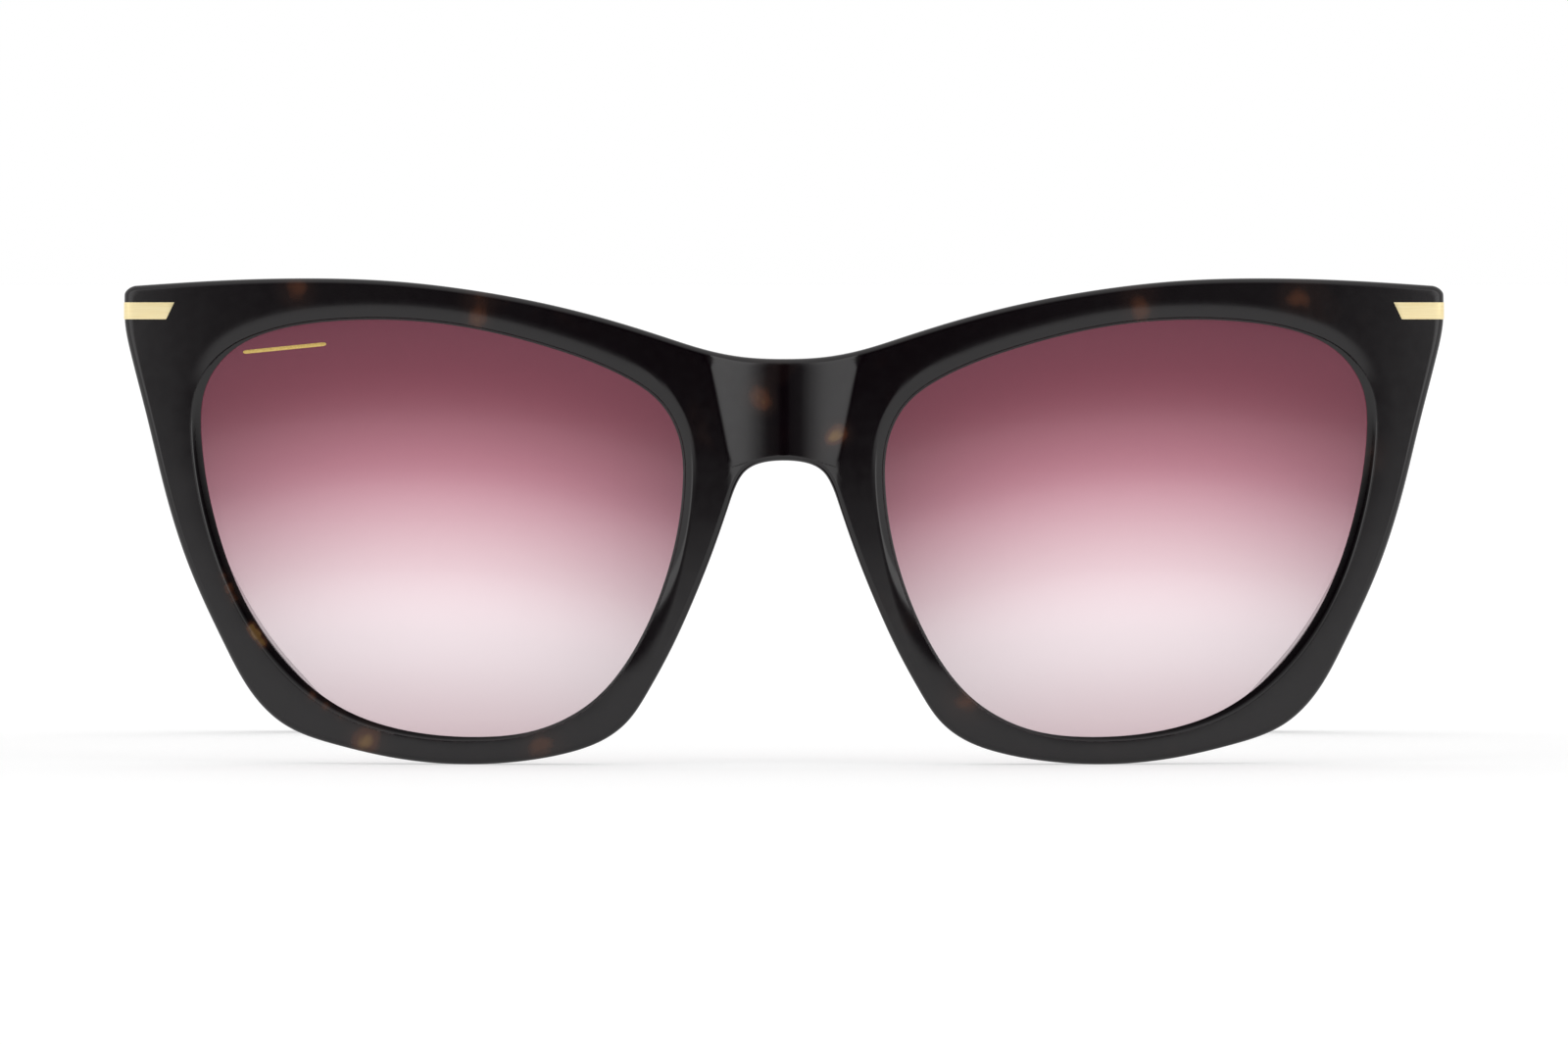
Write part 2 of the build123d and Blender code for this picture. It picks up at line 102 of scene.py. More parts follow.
CREASE_SHARES = (0.2, 0.8)   # which they meet between these shares of the way
CREASE_X = (10, 20)          # and which they forget between these places


def line_through(points, steps, ends=None):
    """Points along a smooth line through the given ones, in equal steps of chord length. It is
    a cubic spline: the slopes at its knots solve one linear system that keeps its curvature
    continuous. ends gives its directions at both ends, and without them the line is a loop."""
    knots = np.array(points, float)
    if ends is None:
        knots = np.vstack([knots, knots[:1]])
    gap = np.linalg.norm(np.diff(knots, axis=0), axis=1)
    place = np.concatenate([[0], np.cumsum(gap)])
    chord = np.diff(knots, axis=0) / gap[:, None]
    last = len(knots) - 1
    inner = np.arange(1, last)
    system = np.zeros((last + 1, last + 1))
    wanted = np.zeros((last + 1, 2))
    system[inner, inner - 1] = gap[1:]
    system[inner, inner] = 2 * (gap[:-1] + gap[1:])
    system[inner, inner + 1] = gap[:-1]
    wanted[1:last] = 3 * (gap[1:, None] * chord[:-1] + gap[:-1, None] * chord[1:])
    if ends is None:
        system[0, [0, last]] = 1, -1
        system[last, [0, 1, last - 1, last]] = (2 * gap[-1], gap[-1], gap[0], 2 * gap[0])
        wanted[last] = 3 * (gap[-1] * chord[0] + gap[0] * chord[-1])
    else:
        system[0, 0] = system[last, last] = 1
        wanted[[0, last]] = ends
    slope = np.linalg.solve(system, wanted)
    at = np.linspace(0, place[-1], steps + 1)
    span = np.clip(np.searchsorted(place, at, side="right") - 1, 0, last - 1)
    length = gap[span][:, None]
    t = (at - place[span])[:, None] / length
    return ((2 * t ** 3 - 3 * t ** 2 + 1) * knots[span]
            + (3 * t ** 2 - 2 * t ** 3) * knots[span + 1]
            + length * (t ** 3 - 2 * t ** 2 + t) * slope[span]
            + length * (t ** 3 - t ** 2) * slope[span + 1])


def spread(line, count, bend_share=2.0):
    """Points along a line, closer where it bends: equal steps of its length plus bend_share
    millimetres for each radian that it turns."""
    step = np.diff(line, axis=0)
    heading = np.unwrap(np.arctan2(step[:, 1], step[:, 0]))
    measure = np.hypot(*step.T) + bend_share * np.abs(np.gradient(heading))
    measure = np.concatenate([[0], np.cumsum(measure)])
    at = np.linspace(0, measure[-1], count)
    return np.column_stack([np.interp(at, measure, line[:, axis]) for axis in (0, 1)])


def right_of(line, loop=False):
    """The direction to the right of a line's travel at each point: its tangent, turned."""
    ahead = (np.roll(line, -1, 0) - np.roll(line, 1, 0)) if loop else np.gradient(line, axis=0)
    ahead = ahead / np.linalg.norm(ahead, axis=-1, keepdims=True)
    return np.stack([ahead[..., 1], -ahead[..., 0]], axis=-1)


def beside(points, line, side):
    """How far points lie to one side of a line, and which of its samples is nearest: the way
    from the nearest sample, measured along that sample's side direction."""
    flat = points.reshape(-1, 2)
    nearest = np.concatenate([
        np.argmin(((part[:, None] - line[None]) ** 2).sum(-1), axis=1)
        for part in np.array_split(flat, len(flat) // 500 + 1)])
    away = ((flat - line[nearest]) * side[nearest]).sum(-1)
    return away.reshape(points.shape[:-1]), nearest.reshape(points.shape[:-1])


def face_y(x, depth=0.0):
    """How far back the front's face lies, depth inside its cylinder about the head."""
    return BASE_RADIUS - np.sqrt((BASE_RADIUS - depth) ** 2 - x ** 2)


def ease(value, low, high):
    """0 below low and 1 above high, with a smooth S between."""
    t = np.clip((value - low) / (high - low), 0, 1)
    return t * t * (3 - 2 * t)


def crown(z):
    """How far the crown makes the face fall back at a height: a shallow parabola."""
    return (z - CROWN_MIDDLE) ** 2 / (2 * CROWN_RADIUS)


def rounded(distance, radius):
    """How far a quarter-round edge falls away at a distance in from the edge."""
    inward = np.clip(distance, 0, radius)
    return radius - np.sqrt(radius ** 2 - (radius - inward) ** 2)


def grid_faces(rows, columns, close_rows=False, close_columns=False):
    """The four-cornered faces between neighbours on a grid of points, as (row, column, 4)."""
    index = np.arange(rows * columns).reshape(rows, columns)
    if close_rows:
        index = np.vstack([index, index[:1]])
    if close_columns:
        index = np.hstack([index, index[:, :1]])
    return np.stack([index[:-1, :-1], index[:-1, 1:], index[1:, 1:], index[1:, :-1]], axis=-1)


def make_piece(name, points, faces, finish, body, nodes, crease=35):
    """A closed skin as a Blender object that stands for CAD nodes and rides on their body.
    Points in one place become one, which closes poles and seams, and the faces are turned
    outwards if the volume that they enclose comes out negative."""
    points = (np.asarray(points).reshape(-1, 3) + (0, FRONT_Y, 0)) * 0.001
    _, first, place = np.unique(points.round(8), axis=0, return_index=True, return_inverse=True)
    points = points[first]
    faces = place.reshape(-1)[faces.reshape(-1, 4)]
    a, b, c, d = (points[faces[:, corner]] for corner in range(4))
    volume = (a * (np.cross(b, c) + np.cross(c, d))).sum()
    if volume < 0:
        faces = faces[:, ::-1]
    distinct = [list(dict.fromkeys(face)) for face in faces.tolist()]
    mesh = bpy.data.meshes.new(name)
    mesh.from_pydata(points.tolist(), [], [face for face in distinct if len(face) > 2])
    mesh.polygons.foreach_set("use_smooth", np.ones(len(mesh.polygons), bool))
    mesh.set_sharp_from_angle(angle=np.radians(crease))
    mesh.materials.append(finish)
    piece = bpy.data.objects.new(name, mesh)
    bpy.context.scene.collection.objects.link(piece)
    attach(piece, body)
    if nodes:
        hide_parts(*nodes)
    return piece


def new_material(name):
    """A new material, its node tree, its Principled shader and its object coordinates."""
    material = bpy.data.materials.new(name)
    material.use_nodes = True
    tree = material.node_tree
    shader = tree.nodes["Principled BSDF"]
    coordinates = tree.nodes.new("ShaderNodeTexCoord").outputs["Object"]
    return material, tree, shader, coordinates


def node(tree, kind, settings=None, **inputs):
    """A new node with its settings made and its inputs set or linked. An input goes by its
    name, or by i and its number."""
    made = tree.nodes.new("ShaderNode" + kind)
    for key, value in (settings or {}).items():
        setattr(made, key, value)
    for key, value in inputs.items():
        wanted = int(key[1:]) if key[1:].isdigit() else key.replace("_", " ")
        socket = made.inputs[wanted]
        if isinstance(value, bpy.types.NodeSocket):
            tree.links.new(value, socket)
        else:
            socket.default_value = value
    return made


def maths(tree, operation, *values):
    """The result of one Math node."""
    inputs = {f"i{number}": value for number, value in enumerate(values)}
    return node(tree, "Math", {"operation": operation}, **inputs).outputs[0]


def ramp(tree, value, stops, interpolation="EASE"):
    """The colour of a ramp with (position, linear colour) stops."""
    made = node(tree, "ValToRGB", None, Fac=value)
    made.color_ramp.interpolation = interpolation
    while len(made.color_ramp.elements) < len(stops):
        made.color_ramp.elements.new(1.0)
    for element, (position, colour) in zip(made.color_ramp.elements, stops):
        element.position = position
        element.color = (*colour, 1)
    return made.outputs["Color"]


# the outline of the wearer's left half, from the middle of the brow round to the nose arch
brow = line_through(BROW_LINE, 420, ((1, 0), (1, -0.07)))
corner = line_through([brow[-1], SIDE_AND_NOSE_LINE[0]], 60, ((1, -0.07), (0, -1)))
side = line_through(SIDE_AND_NOSE_LINE, 1100, ((0, -1), (-1, 0)))
outline = np.vstack([brow, corner[1:], side[1:]])
outline_inward = right_of(outline)
lens_line = line_through(LENS_LINE, 1400)[:-1]
lens_outward = -right_of(lens_line, loop=True)
BROW_Z = BROW_LINE[0][1]
ARCH_Z = SIDE_AND_NOSE_LINE[-1][1]

# one ray from the lens to each point of the outline and, between the rims, to the mirror plane
rim_ends = spread(outline, RIM_RAYS)
rise = np.linspace(0, 1, MIRROR_RAYS + 2)[1:-1]
rise = rise - RAY_CROWDING * np.sin(2 * np.pi * rise)
middle_ends = np.column_stack([0 * rise, ARCH_Z + (BROW_Z - ARCH_Z) * rise])
ray_ends = np.vstack([rim_ends, middle_ends])
on_mirror = np.zeros(len(ray_ends), bool)
on_mirror[len(rim_ends) - 1:] = True
on_mirror[0] = True
rim_in = right_of(rim_ends)
rim_in[:, 0] += np.clip(1 - rim_ends[:, 0] / CORNER_REACH, 0, 1)
to_brow = np.clip(1 - (BROW_Z - middle_ends[:, 1]) / CORNER_REACH, 0, 1)
to_arch = np.clip(1 - (middle_ends[:, 1] - ARCH_Z) / CORNER_REACH, 0, 1)
middle_in = np.column_stack([np.ones(len(rise)), to_arch - to_brow])
ray_in = np.vstack([rim_in, middle_in])


def bearing(points):
    """The angle at which points lie, seen from the middle of the lens."""
    return np.arctan2(points[:, 1] - LENS_MIDDLE[1], points[:, 0] - LENS_MIDDLE[0])


round_lens = np.argsort(bearing(lens_line))
bearings = bearing(lens_line)[round_lens]
ray_bearing = np.unwrap(bearing(ray_ends))
# they leave the lens in turn: those to the nose arch would cross, and are evened out
ray_bearing = 0.5 * (np.minimum.accumulate(ray_bearing)
                     + np.maximum.accumulate(ray_bearing[::-1])[::-1])
padded = np.concatenate([ray_bearing[-RAY_EVENING:] + 2 * np.pi, ray_bearing,
                         ray_bearing[:RAY_EVENING] - 2 * np.pi])
window = np.ones(2 * RAY_EVENING + 1)
ray_bearing = np.convolve(padded, window / window.sum(), mode="valid")
ray_start = np.column_stack([
    np.interp(ray_bearing, bearings, lens_line[round_lens, axis], period=2 * np.pi)
    for axis in (0, 1)])
_, ray_sample = beside(ray_start, lens_line, lens_outward)
ray_out = lens_outward[ray_sample]

# the seat's step is widest towards the temple, and the bevel narrows with the rim
towards_temple = np.clip(lens_outward @ STEP_FACING, 0, 1) ** STEP_POWER
seat_step = SEAT_STEPS[0] + (SEAT_STEPS[1] - SEAT_STEPS[0]) * towards_temple
nasal = ease(-lens_outward[:, 0], *NOSE_FACING) * (1 - ease(-lens_outward[:, 1], *LOW_FACING))
upper = ease(lens_outward[:, 1], *BROW_FACING) * (1 - nasal)
rim_width, _ = beside(lens_line, outline, outline_inward)
bevel_width = BEVEL_WIDTHS[0] + (BEVEL_WIDTHS[1] - BEVEL_WIDTHS[0]) * nasal
room = rim_width - FRONT_EDGE_RADIUS - seat_step
bevel_width = np.minimum(bevel_width, BEVEL_SHARE * room)
bevel_depth = BEVEL_DEPTHS[0] + BEVEL_DEPTHS[1] * nasal + BEVEL_DEPTHS[2] * upper
bevel_power = BEVEL_POWERS[0] + (BEVEL_POWERS[1] - BEVEL_POWERS[0]) * nasal
ray_step = seat_step[ray_sample]
ray_bevel = bevel_width[ray_sample]


def scoop_half_width(z):
    """Half the width of the bridge's scoop at a height."""
    share = np.clip((z - ARCH_Z) / (BROW_Z - ARCH_Z), 0, 1)
    return SCOOP_HALF_WIDTHS[0] + (SCOOP_HALF_WIDTHS[1] - SCOOP_HALF_WIDTHS[0]) * share


def front_surface(points):
    """How far back the polished face lies: the base curve and the crown, less a quarter round
    at the outline, a bevel that steepens towards the lens, and a hyperbola across the bridge."""
    x, z = points[..., 0], points[..., 1]
    to_outline, _ = beside(points, outline, outline_inward)
    to_lens, sample = beside(points, lens_line, lens_outward)
    up_bevel = (to_lens - seat_step[sample]) / bevel_width[sample]
    bevel = bevel_depth[sample] * np.clip(1 - up_bevel, 0, 1) ** bevel_power[sample]
    at_edge = np.hypot(SCOOP_ROUND, scoop_half_width(z))
    inside = SCOOP_SLOPE * (at_edge - np.hypot(SCOOP_ROUND, x))
    scoop = 0.5 * (inside + np.hypot(inside, SCOOP_CREASE))
    return face_y(x) + crown(z) + rounded(to_outline, FRONT_EDGE_RADIUS) + bevel + scoop


def back_surface(points):
    """How far back the rear face lies: the base curve, raised to the lugs, less the rounds."""
    x, z = points[..., 0], points[..., 1]
    to_outline, _ = beside(points, outline, outline_inward)
    to_lens, _ = beside(points, lens_line, lens_outward)
    on_lug = ease(x, *LUG_INNER_X) * ease(z, *LUG_LOWER_Z)
    rear = face_y(x, FRONT_THICKNESS)
    rear = rear + (JOINT_Y - LUG_SINK - rear) * on_lug
    edge = BACK_EDGE_RADIUS + (LUG_EDGE_RADIUS - BACK_EDGE_RADIUS) * on_lug
    return rear - rounded(to_outline, edge) - rounded(to_lens, SEAT_EDGE_RADIUS)


def rings_between(inner, outer, shares):
    """Lines of points between two lines, at shares of the way from one to the other."""
    return [inner + (outer - inner) * share for share in np.moveaxis(shares, -1, 0)[..., None]]


def with_depth(ring, y):
    """A line of points in the front view, given its depth."""
    return np.column_stack([ring[:, 0], np.broadcast_to(y, len(ring)), ring[:, 1]])


# the seat, from the groove forwards: (share of the step, depth inside the face)
SEAT_PROFILE = [(0, GROOVE_DEPTHS[0]), (0, 1.78), (0.5, 1.72), (0.78, 1.64), (0.93, 1.5)]
BEVEL_STATIONS = np.array([0, 0.04, 0.1, 0.2, 0.34, 0.52, 0.75, 1])
quarter = np.radians(np.linspace(0, 90, 8))
groove = ray_start + ray_out * GROOVE_REACH
rings = [with_depth(groove, face_y(groove[:, 0], depth)) for depth in GROOVE_DEPTHS[::-1]]
for share, depth in SEAT_PROFILE:
    ring = ray_start + ray_out * (share * ray_step)[:, None]
    rings.append(with_depth(ring, face_y(ring[:, 0], depth)))
bevel_rings = [ray_start + ray_out * (ray_step + station * ray_bevel)[:, None]
               for station in BEVEL_STATIONS]
edge_rings = [ray_ends + ray_in * (FRONT_EDGE_RADIUS * (1 - np.sin(turn))) for turn in quarter]
# between them the lines gather where the scoop's crease crosses each ray
before = bevel_rings[-1][:, 0] - scoop_half_width(bevel_rings[-1][:, 1])
after = edge_rings[0][:, 0] - scoop_half_width(edge_rings[0][:, 1])
least = CREASE_SHARES[1] * before + 1e-6
crossing = np.clip(before / np.maximum(before - after, least), *CREASE_SHARES)
crossing = 0.5 + (crossing - 0.5) * (1 - ease(ray_ends[:, 0], *CREASE_X))
pull = np.linspace(-1, 1, FACE_RINGS + 2)[1:-1]
reach = np.where(pull < 0, crossing[:, None], 1 - crossing[:, None])
front_shares = crossing[:, None] + np.sign(pull) * np.abs(pull) ** CREASE_CROWDING * reach
between = rings_between(bevel_rings[-1], edge_rings[0], front_shares)
face_rings = np.array(bevel_rings + between + edge_rings)
rings += [with_depth(ring, y) for ring, y in zip(face_rings, front_surface(face_rings))]
wall_from = len(rings) - 1

back_edge = [ray_ends + ray_in * (BACK_EDGE_RADIUS * (1 - np.sin(turn)))
             for turn in quarter[::-1]]
seat_edge = [ray_start + ray_out * (SEAT_EDGE_RADIUS * (1 - np.sin(turn)))
             for turn in quarter[::2]]
seat_edge.append(ray_start)
even_shares = np.broadcast_to(np.linspace(0, 1, BACK_RINGS + 2)[1:-1],
                              (len(ray_ends), BACK_RINGS))
between = rings_between(back_edge[-1], seat_edge[0], even_shares)
back_rings = np.array(back_edge + between + seat_edge)
rings += [with_depth(ring, y) for ring, y in zip(back_rings, back_surface(back_rings))]
rings.append(with_depth(ray_start, face_y(ray_start[:, 0], GROOVE_DEPTHS[1])))

half_front = np.array(rings).transpose(1, 0, 2)
faces = grid_faces(*half_front.shape[:2], close_rows=True, close_columns=True)
on_middle = on_mirror & np.roll(on_mirror, -1)
kept = np.ones(faces.shape[:2], bool)
kept[on_middle, wall_from] = False
faces = faces[kept]
half_front = half_front.reshape(-1, 3)
shared = half_front[:, 0] < 1e-4
half_front[shared, 0] = 0
mirrored = np.where(shared, np.arange(len(shared)), len(shared) - 1 + np.cumsum(~shared))
front_points = np.vstack([half_front, half_front[~shared] * (-1, 1, 1)])
front_faces = np.vstack([faces, mirrored[faces][:, ::-1]])

# lighter patches of the tortoise sheet on the front: (x, z, radius, strength)
AMBER_PATCHES = [(-52.3, 50.8, 1.7, 0.65), (-32.6, 49.9, 1.9, 0.4), (-32.9, 47.6, 1.2, 0.65),
                 (-2.9, 39.6, 1.4, 0.6), (-2.1, 38.5, 1.1, 0.45), (5.9, 35.7, 1.1, 0.95),
                 (5.0, 34.9, 0.9, 0.7), (37.9, 50.4, 2.0, 0.35), (38.4, 48.2, 1.4, 0.4),
                 (55.1, 50.2, 1.8, 0.55), (-44.9, 2.4, 2.0, 0.75), (-26.0, 1.9, 2.1, 0.6),
                 (19.6, 7.1, 2.2, 0.6), (-60.3, 20.1, 0.6, 0.5), (-59.7, 18.9, 0.6, 0.7),
                 (-59.1, 17.7, 0.6, 0.5), (-57.3, 14.7, 0.6, 0.9), (-56.7, 13.8, 0.6, 1.2),
                 (-56.0, 12.9, 0.6, 1.0), (-50.7, 7.3, 0.7, 0.5), (-49.2, 6.2, 0.7, 0.6),
                 (-47.6, 5.2, 0.7, 0.5), (62.8, 33.0, 2.0, 0.4)]


def paint_amber(piece, middles, radii, strengths):
    """How much of the light colour shows at each point of a piece, as its amber attribute: a
    bell-shaped hill over each patch's middle. A middle without a y counts at any depth."""
    points = np.empty(3 * len(piece.data.vertices))
    piece.data.vertices.foreach_get("co", points)
    points = points.reshape(-1, 1, 3) * 1000 - (0, FRONT_Y, 0)
    way = np.nan_to_num(points - middles)
    hills = np.exp(-(way ** 2).sum(-1) / radii ** 2)
    amber = piece.data.attributes.new("amber", "FLOAT", "POINT")
    amber.data.foreach_set("value", (hills * strengths).sum(-1))


def make_acetate():
    """Polished tortoise acetate: near black, with burgundy smoke and amber patches whose edges
    a noise breaks up, under a clear hard gloss with the faint waves of hand polishing."""
    material, tree, shader, place = new_material("tortoise_acetate")
    drift = node(tree, "TexNoise", None, Vector=place, Scale=260.0, Detail=3.0, Distortion=0.8)
    patches = node(tree, "Attribute", {"attribute_name": "amber"}).outputs["Fac"]
    broken = maths(tree, "MULTIPLY_ADD", drift.outputs[0], 1.4, 0.3)
    placed = maths(tree, "MULTIPLY", patches, broken)
    cloud = node(tree, "TexNoise", None, Vector=place, Scale=85.0, Detail=4.0, Distortion=1.6)
    smoke = node(tree, "MapRange", None, Value=cloud.outputs[0], From_Min=0.56, From_Max=0.78,
                 To_Max=0.22).outputs[0]
    amount = maths(tree, "ADD", placed, smoke)
    colour = ramp(tree, amount, [(0.0, (0.0032, 0.0012, 0.0024)), (0.3, (0.012, 0.0055, 0.0052)),
                                 (0.65, (0.07, 0.025, 0.013)), (1.0, (0.2, 0.11, 0.038))])
    tree.links.new(colour, shader.inputs["Base Color"])
    haze = node(tree, "TexNoise", None, Vector=place, Scale=900.0, Detail=2.0)
    gloss = node(tree, "MapRange", None, Value=haze.outputs[0], To_Min=0.11, To_Max=0.17)
    tree.links.new(gloss.outputs[0], shader.inputs["Roughness"])
    waves = node(tree, "TexNoise", None, Vector=place, Scale=140.0, Detail=1.0)
    bump = node(tree, "Bump", None, Height=waves.outputs[0], Strength=0.05, Distance=0.0004)
    tree.links.new(bump.outputs[0], shader.inputs["Normal"])
    shader.inputs["IOR"].default_value = 1.49
    return material


acetate = make_acetate()
front = make_piece("acetate_front", front_points, front_faces, acetate, "front",
                   ["front_frame"])
patch_x, patch_z, patch_radius, patch_strength = np.array(AMBER_PATCHES).T
paint_amber(front, np.column_stack([patch_x, np.full(len(patch_x), np.nan), patch_z]),
            patch_radius, patch_strength)

# ---- lenses ---------------------------------------------------------------------------------
# Each lens is a 2 mm sheet of tinted plastic on the front's base curve, cut to sit in the rim's
# groove. Its dye is wine coloured at the top and fades to nearly clear below. Painted shade
# darkens it towards its bottom and towards its sides.

LENS_DEPTHS = (1.9, 3.9)
LENS_BITE = 0.55             # how far its edge reaches into the groove
LENS_EDGE = 0.15             # small bevel ground round its edge
# the wine dye deepens above the palest stop; the darker stop below it is painted shade at the
# bottom of the lens
LENS_TINT_AND_SHADE = [(0.06, (0.61, 0.48, 0.51)), (0.28, (0.85, 0.73, 0.765)),
             (0.42, (0.82, 0.61, 0.66)), (0.6, (0.56, 0.275, 0.335)),
             (0.76, (0.265, 0.08, 0.113)), (0.95, (0.133, 0.021, 0.042))]
TINT_HEIGHT = 0.05           # where the ramp's places run from 0 to 1, up from the table, metres
ARCH_MIDDLE_X = 0.040        # the ramp, dye and painted shade alike, reaches lower by the square of the way from here
ARCH_FALL = 6.0
SHADE_MIDDLE_X = 0.037       # and painted shade darkens the lens by the square of the way from here,
SHADE_FALL = 600.0
SHADE_HEIGHTS = (0.029, 0.043)   # less so from the first height to the second
SHADE_ABOVE = 0.2


def lens_skin():
    """Rings of the lens outline shrunk to its middle, laid on the front and the back curve,
    with a ground bevel between. The first and the last ring are the closed poles."""
    cut = lens_line[::7] - right_of(lens_line, loop=True)[::7] * LENS_BITE
    ground = lens_line[::7] - right_of(lens_line, loop=True)[::7] * (LENS_BITE - LENS_EDGE)
    shrink = np.concatenate([[0.0], np.linspace(0.05, 1, 20)])
    flat = np.array([LENS_MIDDLE + (ground - LENS_MIDDLE) * share for share in shrink])
    near, far = (np.stack([flat[..., 0], face_y(flat[..., 0], depth), flat[..., 1]], axis=-1)
                 for depth in LENS_DEPTHS)
    rim = [with_depth(cut, face_y(cut[:, 0], depth))
           for depth in (LENS_DEPTHS[0] + LENS_EDGE, LENS_DEPTHS[1] - LENS_EDGE)]
    return np.concatenate([near, np.array(rim), far[::-1]])


def make_tint_and_shade():
    """Dyed lens plastic, with painted shade. The ramp's place is the height plus the square of
    the way from the arch's middle, so that its pale part is a low arch. Above its palest stop the
    wine dye deepens; below it the ramp darkens evenly, which is painted shade at the bottom of
    the lens. The colour is then scaled by one less the square of the way from the painted
    shade's middle, which is painted shade towards the lens's sides."""
    material, tree, shader, place = new_material("gradient_lens")
    axes = node(tree, "SeparateXYZ", None, Vector=place)
    across = maths(tree, "ABSOLUTE", axes.outputs[0])
    from_arch, from_shade = (maths(tree, "POWER", maths(tree, "SUBTRACT", across, middle), 2.0)
                             for middle in (ARCH_MIDDLE_X, SHADE_MIDDLE_X))
    height = maths(tree, "MULTIPLY_ADD", from_arch, ARCH_FALL, axes.outputs[2])
    dye_and_shade = ramp(tree, maths(tree, "DIVIDE", height, TINT_HEIGHT), LENS_TINT_AND_SHADE, "CARDINAL")
    low = node(tree, "MapRange", None, Value=axes.outputs[2], From_Min=SHADE_HEIGHTS[0],
               From_Max=SHADE_HEIGHTS[1], To_Min=1.0, To_Max=SHADE_ABOVE).outputs[0]
    # painted shade: the lens darkens towards its sides, less so above the second height
    dim = maths(tree, "MULTIPLY", maths(tree, "MULTIPLY", from_shade, SHADE_FALL), low)
    shade = maths(tree, "SUBTRACT", 1.0, dim)
    tint_and_shade = node(tree, "VectorMath", {"operation": "SCALE"}, i0=dye_and_shade, Scale=shade)
    tree.links.new(tint_and_shade.outputs[0], shader.inputs["Base Color"])
    shader.inputs["Transmission Weight"].default_value = 1.0
    shader.inputs["Roughness"].default_value = 0.0
    shader.inputs["IOR"].default_value = 1.45
    return material


tint_and_shade = make_tint_and_shade()
lens_points = lens_skin()
lens_faces = grid_faces(*lens_points.shape[:2], close_columns=True)
for wearer_side, sign in (("right", -1), ("left", 1)):
    make_piece(f"{wearer_side}_tinted_lens", lens_points * (sign, 1, 1), lens_faces, tint_and_shade,
               "front", [f"{wearer_side}_lens"])

# A slim gold bar is printed on the wearer's right lens, where such lenses carry a printed mark.
BAR_ENDS = ((-58.2, 44.2), (-49.2, 45.1))
BAR_HALF_WIDTH = 0.2
BAR_PROUD = 0.03
BAR_TAPER = 30               # the higher, the blunter its two ends


def printed_bar():
    """A flat cushion on the lens: along it a straight line, across it half an ellipse of the
    print's height, and both taper to nothing at its two ends."""
    along = 0.5 - 0.5 * np.cos(np.linspace(0, np.pi, 41))
    around = np.linspace(0, 2 * np.pi, 17)[:-1]
    taper = np.sqrt(1 - np.abs(2 * along - 1) ** BAR_TAPER)[:, None]
    start, end = np.array(BAR_ENDS)
    side_way = np.array([start[1] - end[1], end[0] - start[0]]) / np.linalg.norm(end - start)
    flat = (start + (end - start) * along[:, None])[:, None] + (
        BAR_HALF_WIDTH * (taper * np.cos(around))[..., None] * side_way)
    y = face_y(flat[..., 0], LENS_DEPTHS[0]) - BAR_PROUD * taper * np.sin(around)
    return np.stack([flat[..., 0], y, flat[..., 1]], axis=-1)


def make_print():
    """Screen printed gold ink, with the ink's fine grain in its gloss."""
    material, tree, shader, place = new_material("gold_print")
    grain = node(tree, "TexNoise", None, Vector=place, Scale=9000.0)
    gloss = node(tree, "MapRange", None, Value=grain.outputs[0], To_Min=0.3, To_Max=0.5)
    ink = ramp(tree, grain.outputs[0], [(0.3, (0.68, 0.46, 0.12)), (0.7, (0.86, 0.64, 0.22))])
    tree.links.new(ink, shader.inputs["Base Color"])
    tree.links.new(gloss.outputs[0], shader.inputs["Roughness"])
    shader.inputs["Metallic"].default_value = 0.6
    return material


bar_points = printed_bar()
make_piece("printed_bar", bar_points, grid_faces(*bar_points.shape[:2], close_columns=True),
           make_print(), "front", [])

# ---- corner trims ---------------------------------------------------------------------------
# A satin gold strip is let into each upper corner and wraps round on to the side. It is
# stamped from thin brass, with eased edges and a slanted inner end, and held by two pegs.

TRIM_LOWER_Z = 47.72
TRIM_UPPER_Z = 49.57
TRIM_LENGTHS = (4.55, 5.45)  # along the front at its lower and its upper edge
TRIM_BACK_Y = 13.7
TRIM_THICKNESS = 0.6
TRIM_PROUD = 0.05
TRIM_EASE = 0.08             # rounded-off edge
TRIM_END_SLANT = 0.15        # its end rings lean in by this share of a step


